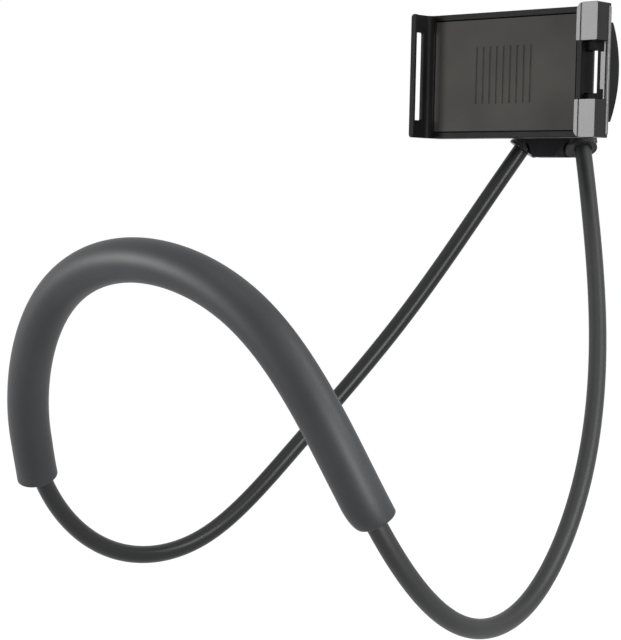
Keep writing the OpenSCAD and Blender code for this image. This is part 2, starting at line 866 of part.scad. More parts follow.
module slider_yoke() {
    color("#29292b")
    in_cradle()
    difference() {
        union() {
            slab_y(head_y0, head_y1)
            intersection() {
                translate([head_x0, -head_h / 2])
                square([head_len + over, head_h]);
                translate([head_end - head_r, 0])
                circle(r = head_r, $fn = 180);
            }
            at_rails()
            translate([-rail_in, rail_y0, -rail_half])
            cube([head_x0 + rail_in + over, rail_y1 - rail_y0, rail_w]);
        }
        translate([head_x0 - over, head_y0 - over, rail_half - rail_pitch / 2])
        cube([finger_notch + over, head_y1 - head_y0 + 2 * over, rail_pitch - rail_w]);
        at_rails() {
            translate([-rail_in - over, rail_y0 + groove_t, -rail_groove_w / 2])
            cube([rail_in + peg_x + 4 * post_r + over, rail_y1 - rail_y0, rail_groove_w]);
            translate([peg_x, 0, 0])
            rod_y(post_r + turn_gap / 2, rail_y0 + groove_t / 3, rail_y1);
        }
        at_jaw_screws() {
            rod_y(screw_r + turn_gap, head_y0 - over, head_y1 + over);
            rod_y(jaw_screw_head_r + fit_gap, head_y1 - jaw_screw_head_t, head_y1 + over);
        }
    }
}

lobe_y0 = rim_y - lobe_depth;
bridge_w = 3.4;
bridge_inset = 0.6;
bridge_t = 3.4;
bridge_gap = 5.7;
jaw_proud = 0.75;
jaw_half = tray_half + jaw_proud;
lobe_z0 = tray_half - lobe_h;
lip_groove_w = 0.8;
lip_groove_d = 0.5;
jaw_r = 4.5;
jaw_edge_r = 0.8;

// The outline of a lobe from x0 on: the far corner on the phone's side is well rounded, the others hardly
module lobe_box(x0) {
    intersection() {
        round_box(x0, slide_end, lobe_z0, jaw_half, jaw_edge_r);
        round_box(x0, slide_end + 2 * jaw_r, lobe_z0 - 2 * jaw_r, jaw_half, jaw_r);
    }
}

module sliding_jaw() {
    color("#2e2e30")
    in_cradle()
    difference() {
        union() {
            slab_y(head_y0 - bridge_t, head_y0) {
                translate([slide_end - lobe_wall, -jaw_half + jaw_r])
                square([lobe_wall - bridge_inset, 2 * (jaw_half - jaw_r)]);
                translate([slide_end - bridge_inset - bridge_w, bridge_gap - lobe_z0])
                square([bridge_w, 2 * (lobe_z0 - bridge_gap)]);
            }
            for (side = [0, 1])
            mirror([0, 0, side]) {
                slab_y(lobe_y0, head_y0)
                lobe_box(slide_end - lobe_w);
                slab_y(lobe_y0, lobe_y0 + lobe_wall)
                lobe_box(slide_end - lobe_w - lobe_lip);
            }
        }
        for (side = [0, 1])
        mirror([0, 0, side]) {
            difference() {
                slab_y(lobe_y0 + lobe_wall, head_y0 + over)
                round_box(slide_end - lobe_w + lobe_wall, slide_end - lobe_wall,
                    lobe_z0 + lobe_wall, jaw_half - lobe_wall, jaw_edge_r);
                translate([jaw_screw_x, 0, jaw_screw_z])
                rod_y(screw_r + lobe_wall / 2, lobe_y0, head_y0 + 2 * over);
            }
            translate([slide_end - lobe_w - lip_groove_w / 2, lobe_y0 - over, lobe_z0 - over])
            cube([lip_groove_w, over + lip_groove_d, lobe_h + jaw_half - tray_half + 2 * over]);
        }
        at_jaw_screws()
        rod_y(screw_r + turn_gap / 2, lobe_y0 + lobe_wall, head_y0 + over);
    }
}

module jaw_screws() {
    color("#8d8f92")
    in_cradle()
    at_jaw_screws() {
        rod_y(screw_r, head_y1 - jaw_screw_len, head_y1 - jaw_screw_head_t);
        rod_y(jaw_screw_head_r, head_y1 - jaw_screw_head_t, head_y1);
    }
}

module spring_posts() {
    color("#b8babd")
    in_cradle()
    at_rails()
    translate([post_x, 0, 0])
    rod_y(post_r, floor_back_y, cover_front_y);
}

module spring_pegs() {
    color("#b8babd")
    in_cradle()
    at_rails()
    translate([peg_x, 0, 0])
    rod_y(post_r, rail_y0 + groove_t / 3, rail_y1);
}

// The middle line of a spring: a hook round the post, the curls, and a hook round the peg
coil_r = (spring_d - wire_d) / 2;
hook_r = post_r + wire_d / 2 + turn_gap;
wire_sides = 6;
rings_per_curl = 8;
hook_rings = 7;
hook_turn = 270;
coil_x0 = post_x + hook_r + 3 * coil_r;
coil_x1 = peg_x - hook_r - 3 * coil_r;
coil_rings = curls * rings_per_curl;
spring_path = concat(
    [for (k = [0:hook_rings]) let (a = (k - hook_rings) * hook_turn / hook_rings)
        [post_x + hook_r * cos(a - 90), spring_y, hook_r * sin(a - 90)]],
    [for (k = [0:coil_rings]) let (a = k * 360 / rings_per_curl)
        [coil_x0 + (coil_x1 - coil_x0) * k / coil_rings,
            spring_y + coil_r * sin(a), -coil_r * cos(a)]],
    [for (k = [0:hook_rings]) let (a = k * hook_turn / hook_rings)
        [peg_x + hook_r * cos(a - 90), spring_y, hook_r * sin(a - 90)]]);
spring_last = len(spring_path) - 1;
spring_dirs = [for (k = [0:spring_last])
    unit(spring_path[min(k + 1, spring_last)] - spring_path[max(k - 1, 0)])];
// Each side direction is the one before it, turned as little as the wire allows
spring_sides = [for (k = 0, s = [0, 1, 0]; k <= spring_last; k = k + 1,
    s = k <= spring_last ? unit(s - (s * spring_dirs[k]) * spring_dirs[k]) : s) s];
spring_rings = [for (k = [0:spring_last]) let (up = cross(spring_sides[k], spring_dirs[k]))
    [for (a = [0:wire_sides - 1]) spring_path[k] + wire_d / 2
        * (cos(a * 360 / wire_sides) * spring_sides[k] + sin(a * 360 / wire_sides) * up)]];
// Least gap between points of the wire that are at least half a curl apart
spring_gap = min([for (i = [0:spring_last]) for (j = [i + rings_per_curl / 2:spring_last])
    norm(spring_path[i] - spring_path[j])]) - wire_d;
echo(spring_gap = spring_gap);

module spring(side) {
    color("#c4c6c9")
    in_cradle()
    translate([0, 0, side * rail_pitch / 2])
    ring_rod(spring_rings);
}

module spring_upper() {
    spring(1);
}

module spring_lower() {
    spring(-1);
}

neck_pad();
gooseneck_sheath();
gooseneck_core();
ferrule_left();
ferrule_right();
collar_left();
collar_right();
hub_front_shell();
hub_rear_shell();
hub_screw();
ball_stud();
stud_nut();
ball_cup();
ball_socket();
socket_screws();
lock_nut();
tray_body();
grip_pad();
back_cover();
cover_screws();
slider_yoke();
sliding_jaw();
jaw_screws();
spring_upper();
spring_lower();
spring_posts();
spring_pegs();
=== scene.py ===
# %% [markdown]
# # A neck phone holder
# A bendable loop lies on the shoulders, a foam sleeve covers the stretch behind the neck, and a hub
# at the front carries a ball joint and a sprung cradle for a phone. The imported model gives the
# place and size of every piece. This script adds what the eye sees: soft edges, smooth tubes, and a
# finish for each material. Everything is in metres, with the back of the neck at the origin.

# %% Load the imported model
import json

import bmesh
import bpy
import numpy as np
from mathutils import Matrix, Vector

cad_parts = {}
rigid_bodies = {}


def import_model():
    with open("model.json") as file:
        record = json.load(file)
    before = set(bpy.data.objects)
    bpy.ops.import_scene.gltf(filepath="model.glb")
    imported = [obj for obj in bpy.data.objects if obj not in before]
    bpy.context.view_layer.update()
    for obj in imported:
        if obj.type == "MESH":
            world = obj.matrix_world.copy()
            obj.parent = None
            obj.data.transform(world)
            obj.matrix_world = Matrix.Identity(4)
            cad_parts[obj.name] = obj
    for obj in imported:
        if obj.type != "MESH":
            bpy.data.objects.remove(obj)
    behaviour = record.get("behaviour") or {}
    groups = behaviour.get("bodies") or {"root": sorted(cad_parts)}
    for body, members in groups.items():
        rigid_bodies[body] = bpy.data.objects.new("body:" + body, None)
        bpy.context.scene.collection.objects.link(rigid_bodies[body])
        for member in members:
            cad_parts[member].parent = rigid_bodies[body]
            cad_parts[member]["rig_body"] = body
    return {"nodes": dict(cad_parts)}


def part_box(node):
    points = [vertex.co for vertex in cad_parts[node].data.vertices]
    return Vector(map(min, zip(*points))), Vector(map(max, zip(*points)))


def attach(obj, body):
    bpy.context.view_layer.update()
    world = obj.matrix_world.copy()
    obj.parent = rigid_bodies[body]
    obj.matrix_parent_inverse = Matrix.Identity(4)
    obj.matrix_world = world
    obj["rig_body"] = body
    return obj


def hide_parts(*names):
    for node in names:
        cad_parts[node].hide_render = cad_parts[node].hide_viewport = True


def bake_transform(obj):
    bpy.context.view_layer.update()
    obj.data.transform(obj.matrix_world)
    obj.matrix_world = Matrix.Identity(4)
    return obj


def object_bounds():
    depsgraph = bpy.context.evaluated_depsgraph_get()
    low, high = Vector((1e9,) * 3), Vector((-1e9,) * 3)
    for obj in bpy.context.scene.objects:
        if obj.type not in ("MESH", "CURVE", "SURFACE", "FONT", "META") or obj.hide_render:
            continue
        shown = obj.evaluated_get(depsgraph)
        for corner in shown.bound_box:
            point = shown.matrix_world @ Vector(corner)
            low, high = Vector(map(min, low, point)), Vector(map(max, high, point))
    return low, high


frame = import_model()
nodes = frame["nodes"]
cad_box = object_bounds()
mm = 0.001
print("nodes:", len(nodes), "box:", [[round(x, 4) for x in corner] for corner in cad_box])

# %% [markdown]
# ## The camera
# A photograph can be matched by hand, nudging the camera until the edges lie right, or its place
# can be worked out from the shapes in it. Here the loop and the cradle gave the angles: the camera
# stands behind the wearer's right shoulder, looks a little down, and has a long lens. Its own x, y
# and z axes follow from three angles, and they are the columns of its matrix.

# %% Camera
def placed(axes, at):
    """The matrix of a thing at a place, with its x, y and z axes along the three given directions."""
    matrix = np.eye(4)
    matrix[:3, :3] = np.stack(axes, 1)
    matrix[:3, 3] = at
    return Matrix(matrix.tolist())


turn, dip, roll = np.radians([42.80, 3.65, 1.24])
ahead = np.array([-np.sin(turn) * np.cos(dip), np.cos(turn) * np.cos(dip), -np.sin(dip)])
level = np.array([np.cos(turn), np.sin(turn), 0.0])
above = np.cross(level, ahead)
camera_x = np.cos(roll) * level + np.sin(roll) * above
camera_y = np.cos(roll) * above - np.sin(roll) * level
camera_at = np.array([0.6646, -0.6056, 0.0296])
focal_pixels, photo_height = 1847, 640

camera = bpy.data.objects.new("camera", bpy.data.cameras.new("camera"))
camera.data.lens = focal_pixels * camera.data.sensor_width / photo_height
camera.data.clip_end = 60
camera.matrix_world = placed((camera_x, camera_y, -ahead), camera_at)
bpy.context.scene.collection.objects.link(camera)
bpy.context.scene.camera = camera
print("lens:", round(camera.data.lens, 1), "mm")

# %% [markdown]
# ## Colour and nodes
# Colours are written the way a paint tool shows them, in sRGB, and Blender's shaders want them
# linear. One small function converts them. Another adds a shader node with its settings and the
# outputs that feed it, so that each material below reads as a short list.

# %% Helpers for materials
def linear(colour):
    """An sRGB hex colour as linear RGBA: the sRGB curve undone channel by channel."""
    value = np.array([int(colour[k:k + 2], 16) for k in (1, 3, 5)]) / 255
    value = np.where(value <= 0.04045, value / 12.92, ((value + 0.055) / 1.055) ** 2.4)
    return (*map(float, value), 1.0)


def add(tree, kind, settings=None, links=None):
    """Adds one node. Settings go to its sockets of that name, or else to its properties, and links
    feed its sockets, which are named or counted."""
    made = tree.nodes.new(kind)
    for key, value in (settings or {}).items():
        if key in made.inputs:
            made.inputs[key].default_value = value
        else:
            setattr(made, key, value)
    connect(tree, made, links or {})
    return made


def connect(tree, node, links):
    """Feeds each named or counted socket of a node from an output."""
    for key, output in links.items():
        tree.links.new(output, node.inputs[key])


def finish_of(name, settings):
    """A new material, its tree, its Principled shader with these settings, and the object's coordinates."""
    material = bpy.data.materials.new(name)
    material.use_nodes = True
    tree = material.node_tree
    shader = tree.nodes["Principled BSDF"]
    for key, value in settings.items():
        shader.inputs[key].default_value = value
    place = add(tree, "ShaderNodeTexCoord").outputs["Object"]
    return material, tree, shader, place


def vary(tree, place, per_metre, dark, light, detail=2.0):
    """Two hex colours mixed by soft noise, with about per_metre patches in a metre."""
    noise = add(tree, "ShaderNodeTexNoise", {"Scale": per_metre, "Detail": detail}, {"Vector": place})
    ramp = add(tree, "ShaderNodeValToRGB", links={"Fac": noise.outputs["Fac"]})
    # noise seldom leaves the middle third of its range, so the two colours blend over that
    for stop, at, colour in zip(ramp.color_ramp.elements, (0.35, 0.65), (dark, light)):
        stop.position = at
        stop.color = linear(colour)
    return ramp.outputs["Color"]


# %% [markdown]
# ## Plastics of the cradle and the hub
# The cradle is injection-moulded ABS. A mould that was eroded by sparks leaves a fine matte grain,
# and a polished one leaves gloss that shows every soft lamp as a pale patch. Both are the same
# black pigment, so the difference is all in roughness, grain and the strength of the reflection.
# Real spark grain is about a tenth of a millimetre, too fine to show here, so it is drawn as coarse
# as it needs to show, at 0.7 to 2 mm. A polished face has no grain, only waves of 6 to 8 mm, which
# keep its reflections from being perfect. Handling leaves faint smudges, which here only change
# the roughness.

# %% Moulded plastic
colour_patches, smudges = 45.0, 60.0  # in a metre, so about 22 mm and 17 mm across


def moulded(name, dark, light, roughness, smudge, grain_mm, depth_mm, specular=0.5):
    """Plastic from one mould: two near colours, a roughness that wanders by smudge, a grain, or waves,
    of grain_mm that is depth_mm deep, and the strength of its reflection, specular."""
    material, tree, shader, place = finish_of(name, {
        "Roughness": roughness, "Specular IOR Level": specular, "IOR": 1.54})
    marks = add(tree, "ShaderNodeTexNoise", {"Scale": smudges, "Detail": 4.0, "Distortion": 0.4},
                {"Vector": place})
    rough = add(tree, "ShaderNodeMapRange", {"To Min": roughness - smudge, "To Max": roughness + smudge},
                {"Value": marks.outputs["Fac"]})
    bed = add(tree, "ShaderNodeTexNoise", {"Scale": 1 / (grain_mm * mm), "Detail": 2.0}, {"Vector": place})
    grain = add(tree, "ShaderNodeBump", {"Strength": 1.0, "Distance": depth_mm * mm},
                {"Height": bed.outputs["Fac"]})
    connect(tree, shader, {
        "Base Color": vary(tree, place, colour_patches, dark, light, detail=3.0),
        "Roughness": rough.outputs["Result"], "Normal": grain.outputs["Normal"]})
    return material


# %% Cradle plastics
# fine spark grain: the tray stays nearly black and shows its shape by its edges
abs_tray = moulded("abs_fine_spark_grain", "#111112", "#161617", roughness=0.42, smudge=0.05,
                   grain_mm=0.7, depth_mm=0.01, specular=0.05)
# a satin lid: an even dark sheet, on which the socket and its ring stand out
abs_rear = moulded("abs_satin_rear_lid", "#18181a", "#1e1e20", roughness=0.46, smudge=0.05,
                   grain_mm=0.9, depth_mm=0.02, specular=0.30)
# a polished mould: the jaw mirrors the lamp on the wearer's left, so its lobes look pale grey
abs_jaw = moulded("abs_polished_jaw", "#0f0f10", "#131314", roughness=0.16, smudge=0.03,
                  grain_mm=8.0, depth_mm=0.006, specular=0.17)
# the bead's round face catches light from all sides, as a thin line, and its base colour is a painted
# highlight, lighter than the jaw's
abs_bead = moulded("abs_bead_painted_highlight", "#262627", "#2c2c2d", roughness=0.46, smudge=0.03,
                   grain_mm=8.0, depth_mm=0.006, specular=1.0)
# coarse spark grain: the slider is dull, so that it lies behind the jaw to the eye as well
abs_matte = moulded("abs_coarse_spark_grain", "#161617", "#1d1d1e", roughness=0.62, smudge=0.06,
                    grain_mm=0.8, depth_mm=0.06, specular=0.05)
print("cradle plastics:", len(bpy.data.materials))

# %% Hub and joint plastics
# the flanges are polished, and the shells between them have a soft sheen
abs_gloss = moulded("abs_polished_black", "#201f21", "#262527", roughness=0.28, smudge=0.04,
                    grain_mm=6.0, depth_mm=0.01, specular=0.12)
abs_shell = moulded("abs_satin_shell", "#1b1a1c", "#201f21", roughness=0.46, smudge=0.04,
                    grain_mm=2.0, depth_mm=0.01, specular=0.06)
# joints are made of acetal and nylon, which slide on each other: one is waxy black, the other milky
acetal = moulded("acetal_black_satin", "#18181a", "#202022", roughness=0.40, smudge=0.05,
                 grain_mm=1.2, depth_mm=0.02, specular=0.25)
nylon = moulded("nylon_natural_satin", "#cfcec6", "#dbdad3", roughness=0.48, smudge=0.05,
                grain_mm=1.5, depth_mm=0.02)
print("all plastics:", len(bpy.data.materials))

# %% [markdown]
# ## Rubber sheet
# The sheet that keeps the phone from sliding is cast silicone: matte, a little warm, never quite
# even. A plain grey would do from afar, but up close silicone is told by its fine specks, so soft
# patches of colour and a shallow bump are worth the few nodes. The specks are drawn at 0.6 mm,
# coarser than real ones, so that they show.

# %% Silicone
silicone, tree, shader, place = finish_of("silicone_cast_sheet", {
    "Roughness": 0.60, "Specular IOR Level": 0.1})
specks = add(tree, "ShaderNodeTexNoise", {"Scale": 1 / (0.6 * mm), "Detail": 3.0}, {"Vector": place})
pits = add(tree, "ShaderNodeBump", {"Strength": 1.0, "Distance": 0.05 * mm},
           {"Height": specks.outputs["Fac"]})
connect(tree, shader, {
    "Base Color": vary(tree, place, 28, "#3b3937", "#413f3c"), "Normal": pits.outputs["Normal"]})
print(silicone.name)

# %% [markdown]
# ## Foam skin
# The sleeve is closed-cell rubber foam, whose moulded skin is duller than the tube and faintly
# pitted by its cells. Real cells are too fine to show here, so the pits are drawn at 0.9 mm. Waves
# of about 11 mm keep the long highlight from looking ruled. The two bumps are chained, so that the
# pits ride on the waves.

# %% Foam
foam, tree, shader, place = finish_of("rubber_foam_skin", {
    "Roughness": 0.50, "Specular IOR Level": 0.36})
cells = add(tree, "ShaderNodeTexVoronoi", {"Scale": 1 / (0.9 * mm)}, {"Vector": place})
dents = add(tree, "ShaderNodeBump", {"Strength": 1.0, "Distance": 0.02 * mm},
            {"Height": cells.outputs["Distance"]})
waves = add(tree, "ShaderNodeTexNoise", {"Scale": 90.0, "Detail": 2.0}, {"Vector": place})
swell = add(tree, "ShaderNodeBump", {"Strength": 1.0, "Distance": 0.15 * mm},
            {"Height": waves.outputs["Fac"], "Normal": dents.outputs["Normal"]})
connect(tree, shader, {
    "Base Color": vary(tree, place, 22, "#242527", "#2b2c2e"), "Normal": swell.outputs["Normal"]})
print(foam.name)

# %% [markdown]
# ## Sheath of the tube
# The tube's sheath is extruded soft PVC. The die leaves marks that run lengthwise, so they are read
# from the sheath's own UV map, which is in metres round and along the tube. In the photograph the
# wearer's left arm is glossier than the right one, and the length along the tube decides how much.

# %% Sheath
# the die leaves lines about 0.5 mm apart and far longer
line_gap, line_length = 0.5 * mm, 40 * mm
sheath, tree, shader, place = finish_of("pvc_extruded_sheath", {
    "Roughness": 0.48, "Coat Roughness": 0.34})
along = add(tree, "ShaderNodeTexCoord").outputs["UV"]
stretched = add(tree, "ShaderNodeMapping", {"Scale": (1 / line_gap, 1 / line_length, 1.0)},
                {"Vector": along})
lines = add(tree, "ShaderNodeTexNoise", {"Scale": 1.0, "Detail": 2.0},
            {"Vector": stretched.outputs["Vector"]})
ridges = add(tree, "ShaderNodeBump", {"Strength": 1.0, "Distance": 0.002 * mm},
             {"Height": lines.outputs["Fac"]})
connect(tree, shader, {
    "Base Color": vary(tree, place, 30, "#0f1011", "#151617"), "Normal": ridges.outputs["Normal"]})

# metres along the tube from the middle of the sleeve, with the wearer's left below zero
fade_from, fade_to = -0.35, 0.20
run = add(tree, "ShaderNodeSeparateXYZ", links={"Vector": along})
for socket, left_value, right_value in (("Coat Weight", 0.5, 0.05), ("Specular IOR Level", 0.03, 0.40)):
    fade = add(tree, "ShaderNodeMapRange", {
        "From Min": fade_from, "From Max": fade_to, "To Min": left_value, "To Max": right_value},
        {"Value": run.outputs["Y"]})
    connect(tree, shader, {socket: fade.outputs["Result"]})
print(sheath.name)

# %% [markdown]
# ## Metals
# Screws are zinc-plated steel, turned and then tumbled, so their shine is broken by a fine, even
# haze. The spring wire is drawn and bright. The core of the loop is soft aluminium. A metal's
# colour is its reflection, so the base colour is pale and the roughness does the rest. The haze is
# drawn at 0.4 to 0.8 mm, because at its real size it would not show.

# %% Metal finishes
def bare_metal(name, dark, light, roughness, haze_mm):
    """A metal in patches of 5 mm, whose roughness wanders by three tenths with a haze of haze_mm."""
    material, tree, shader, place = finish_of(name, {"Metallic": 1.0, "Roughness": roughness})
    haze = add(tree, "ShaderNodeTexNoise", {"Scale": 1 / (haze_mm * mm), "Detail": 3.0}, {"Vector": place})
    rough = add(tree, "ShaderNodeMapRange", {"To Min": roughness * 0.7, "To Max": roughness * 1.3},
                {"Value": haze.outputs["Fac"]})
    connect(tree, shader, {
        "Base Color": vary(tree, place, 200, dark, light, detail=3.0), "Roughness": rough.outputs["Result"]})
    return material


zinc_steel = bare_metal("steel_zinc_plated", "#8e9092", "#a6a8aa", roughness=0.30, haze_mm=0.4)
spring_wire = bare_metal("spring_steel_drawn", "#a9abad", "#bfc1c3", roughness=0.20, haze_mm=0.8)
aluminium = bare_metal("aluminium_soft_wire", "#a8aaac", "#bcbec0", roughness=0.38, haze_mm=0.6)
print("all materials:", len(bpy.data.materials))

# %% [markdown]
# ## The route of the tube
# The bendable tube is one smooth line, so a handful of control points describe it better than
# hundreds of measured ones. A uniform cubic B-spline blends every four neighbours with weights that
# add up to one, which keeps both slope and bend continuous. Only the wearer's right half is
# described, and the left is its mirror image. The points are shares of the loop's half width,
# reach and drop, the same as in the model's source.

# %% Control points
half_width, reach, rise, drop = 127 * mm, 326 * mm, 65 * mm, 180 * mm
splay, lean = np.radians(24), np.radians(24)
tube_r, pad_r = 5 * mm, 11 * mm
lead, held = 40 * mm, 20 * mm  # straight in front of the hub's mouth, and inside it
shares = np.array([
    [0.59, 0.845, -0.26], [0.85, 0.665, -0.67], [0.94, 0.47, -1], [1.01, 0.25, -0.99],
    [1, 0.09, -0.72], [0.85, 0.015, -0.36], [0.54, -0.02, -0.07]])
mouth = np.array([23 * mm, reach, rise])
out_of_mouth = np.array([np.sin(splay), -np.cos(splay) * np.sin(lean), -np.cos(splay) * np.cos(lean)])
free = shares * [half_width, reach, drop]
# the line passes the middle at (last free point + 2 crown) / 3, which this puts pad_r behind the neck
crown = np.array([0, -1.5 * pad_r - free[-1, 1] / 2, -free[-1, 2] / 2])
control = np.vstack([mouth - lead * out_of_mouth, mouth, mouth + lead * out_of_mouth,
                     free, crown, free[-1] * [-1, 1, 1]])
print("control points:", len(control))


# %% Middle line
def spline(points, steps):
    """Uniform cubic B-spline: each four neighbours, weighted by four cubics of t, for t from 0 to 1."""
    t = np.linspace(0, 1, steps, endpoint=False)
    weights = np.stack([(1 - t) ** 3,
                        3 * t ** 3 - 6 * t ** 2 + 4,
                        -3 * t ** 3 + 3 * t ** 2 + 3 * t + 1,
                        t ** 3], 1) / 6
    spans = np.stack([points[k:len(points) - 3 + k] for k in range(4)], 1)
    last = (points[-3] + 4 * points[-2] + points[-1]) / 6
    return np.vstack([np.einsum("tk,skc->stc", weights, spans).reshape(-1, 3), last])


right_half = spline(control, steps=60)[::-1]  # from the middle of the sleeve to the right mouth
right_half = np.vstack([right_half, mouth - held * out_of_mouth])
right_run = np.concatenate([[0], np.cumsum(np.linalg.norm(np.diff(right_half, axis=0), axis=1))])
tube_end = right_run[-1]
print("tube length:", round(2 * tube_end / mm), "mm")

# %% [markdown]
# ## Rings round the line
# A tube is a circle carried along a line. The circle needs two directions square to the line, and
# taking both from one fixed direction keeps them from twisting, as long as the line never runs
# along it. The rings come out as one array: along the line, round the circle, and x, y, z.

# %% Rings
fixed_direction = np.array([7, 5, 5]) / np.sqrt(99)


def half_frames(runs):
    """Places on the right half at these lengths from the middle, with two directions square to the line."""
    place = np.stack([np.interp(runs, right_run, right_half[:, k]) for k in range(3)], 1)
    slope = np.gradient(right_half, right_run, axis=0)
    ahead = np.stack([np.interp(runs, right_run, slope[:, k]) for k in range(3)], 1)
    ahead /= np.linalg.norm(ahead, axis=1, keepdims=True)
    across = np.cross(ahead, fixed_direction)
    across /= np.linalg.norm(across, axis=1, keepdims=True)
    return place, across, np.cross(across, ahead)


def rings(runs, radii):
    """Rings of points round the line: place + radius times (cos a, sin a) in the two square directions.
    Runs are lengths from the middle, below zero on the left, where the right half is mirrored. Radii
    are an array of runs by points in a ring."""
    place, across, upward = half_frames(np.abs(runs))
    mirror = np.where(runs[:, None] < 0, [-1.0, 1.0, 1.0], [1.0, 1.0, 1.0])
    angle = np.linspace(0, 2 * np.pi, radii.shape[1], endpoint=False)[None, :, None]
    ring = across[:, None] * np.cos(angle) + upward[:, None] * np.sin(angle)
    return (place[:, None] + radii[..., None] * ring) * mirror[:, None]


print("a ring at the middle:", rings(np.zeros(1), np.full((1, 4), tube_r)).round(4).tolist())

# %% [markdown]
# ## From a grid of points to a surface
# Every swept or turned piece is a grid: one direction goes round, the other goes along. The faces
# only depend on the size of the grid, so they are worked out once with index arithmetic, for all
# cells together. A UV map in metres goes with it, so that lengthwise marks keep their real scale.

# %% Helpers for meshes
def piece(name, mesh, material, sharp=35):
    """Puts a mesh in the scene with one material, smooth but for edges sharper than that many degrees."""
    mesh.materials.clear()
    mesh.materials.append(material)
    mesh.polygons.foreach_set("use_smooth", np.ones(len(mesh.polygons), bool))
    mesh.set_sharp_from_angle(angle=np.radians(sharp))
    made = bpy.data.objects.new(name, mesh)
    bpy.context.scene.collection.objects.link(made)
    print(name, len(mesh.polygons), "faces")
    return made


def surface(name, grid, material, closed_along=False, uv=None):
    """A mesh from a grid (along, round, xyz), closed round, and closed along or capped at both ends. Each
    face joins point (k, a) with its neighbours in the next ring, k + 1, and round the ring, a + 1."""
    count, sides = grid.shape[:2]
    k, a = np.meshgrid(np.arange(count if closed_along else count - 1), np.arange(sides), indexing="ij")
    k2, a2 = (k + 1) % count, (a + 1) % sides
    quads = np.stack([k * sides + a, k * sides + a2, k2 * sides + a2, k2 * sides + a], -1)
    faces = quads.reshape(-1, 4).tolist()
    if not closed_along:
        faces += [list(range(sides))[::-1], list(range((count - 1) * sides, count * sides))]
    mesh = bpy.data.meshes.new(name)
    mesh.from_pydata(grid.reshape(-1, 3), [], faces)
    if uv is not None:
        # the corner that closes a ring takes the width of the whole ring, so that no face is stretched
        u_step, v = uv
        corners = np.stack([np.stack([(a + step) * u_step, v[row]], -1)
                            for step, row in ((0, k), (1, k), (1, k2), (0, k2))], 2).reshape(-1, 2)
        on_caps = np.zeros((len(mesh.loops) - len(corners), 2))
        layer = mesh.uv_layers.new(name="along")
        layer.uv.foreach_set("vector", np.vstack([corners, on_caps]).astype(np.float32).ravel())
    mesh.validate()
    work = bmesh.new()
    work.from_mesh(mesh)
    bmesh.ops.recalc_face_normals(work, faces=work.faces)
    work.to_mesh(mesh)
    work.free()
    return piece(name, mesh, material)


# %% [markdown]
# ## The bendable tube
# The sheath is drawn over an aluminium core and keeps the curve that the wearer bends it to. A
# curve with a round bevel would do, but a swept grid gives a UV map in real metres, which the
# lengthwise marks of the finish need. Both ends run into the hub.

# %% Tube
tube_rings, tube_sides = 901, 40
tube_runs = np.linspace(-tube_end, tube_end, tube_rings)
tube = surface("bendable_tube", rings(tube_runs, np.full((tube_rings, tube_sides), tube_r)), sheath,
               uv=(2 * np.pi * tube_r / tube_sides, tube_runs))
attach(tube, "neck_frame")
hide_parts("gooseneck_sheath")

# %% Core wire
core_r, core_rings, core_sides = 2 * mm, 301, 16
core_runs = np.linspace(-tube_end, tube_end, core_rings)
core = surface("core_wire", rings(core_runs, np.full((core_rings, core_sides), core_r)), aluminium)
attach(core, "neck_frame")
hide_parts("gooseneck_core")

# %% [markdown]
# ## The foam sleeve
# A slit-free foam tube, pushed along the sheath before the hub was fitted. Its cut ends are rounded
# over. Cloth simulation suits a sewn pad, but this one has no seams and no slack, so it is worked
# out directly: a skin over rings, whose radius follows a quarter circle at each end, and a bore
# inside it, joined to the skin at both ends.

# %% Sleeve: rings and radii
pad_left, pad_right, bore_r = 199 * mm, 188 * mm, tube_r + 0.2 * mm
left_edge, right_edge = 1.4 * mm, 0.9 * mm
side_rings, bore_rings, edge_rings, pad_sides = 420, 120, 12, 72
bend = np.linspace(0, np.pi / 2, edge_rings)
# rings lie close together in the rounding of each cut, and evenly from half an edge beyond it
side_runs = np.concatenate([
    -(pad_left - left_edge * (1 - np.sin(bend)))[::-1],
    np.linspace(1.5 * left_edge - pad_left, pad_right - 1.5 * right_edge, side_rings),
    pad_right - right_edge * (1 - np.sin(bend))])
side_radii = np.concatenate([
    (pad_r - left_edge * (1 - np.cos(bend)))[::-1],
    np.full(side_rings, pad_r),
    pad_r - right_edge * (1 - np.cos(bend))])
pad_runs = np.concatenate([side_runs, np.linspace(pad_right, -pad_left, bore_rings)])
pad_radii = np.concatenate([side_radii, np.full(bore_rings, bore_r)])
pad_radii = np.tile(pad_radii[:, None], (1, pad_sides))
skin = slice(0, len(side_runs))
print("sleeve:", len(pad_runs), "rings,", round((pad_left + pad_right) / mm), "mm long")

# %% [markdown]
# ## The two ends of the sleeve
# The ends aren't alike. The near one is drawn in on the side that faces down and back, so its
# radius falls there along a quarter of an ellipse. Foam bends less than the tube inside it, so the
# far end lies beside the tube's middle, and its cut slants. Sculpting could do this by hand, but a
# formula for each end can be read and changed.

# %% Sleeve: near end
drawn_long, drawn_deep, drawn_side = 13 * mm, 3.8 * mm, np.array([-0.63, -0.62, -0.46])
_, across, upward = half_frames(np.array([pad_right]))
drawn_angle = np.arctan2(upward[0] @ drawn_side, across[0] @ drawn_side)
share = (1 + np.cos(np.linspace(0, 2 * np.pi, pad_sides, endpoint=False) - drawn_angle)) / 2
nearness = np.clip(1 - (pad_right - side_runs) / drawn_long, 0, 1)[:, None]
pad_radii[skin] -= drawn_deep * (1 - np.sqrt(1 - nearness ** 2)) * share
pad_grid = rings(pad_runs, pad_radii)
print("least radius of the skin:", round(pad_radii[skin].min() / mm, 2), "mm")

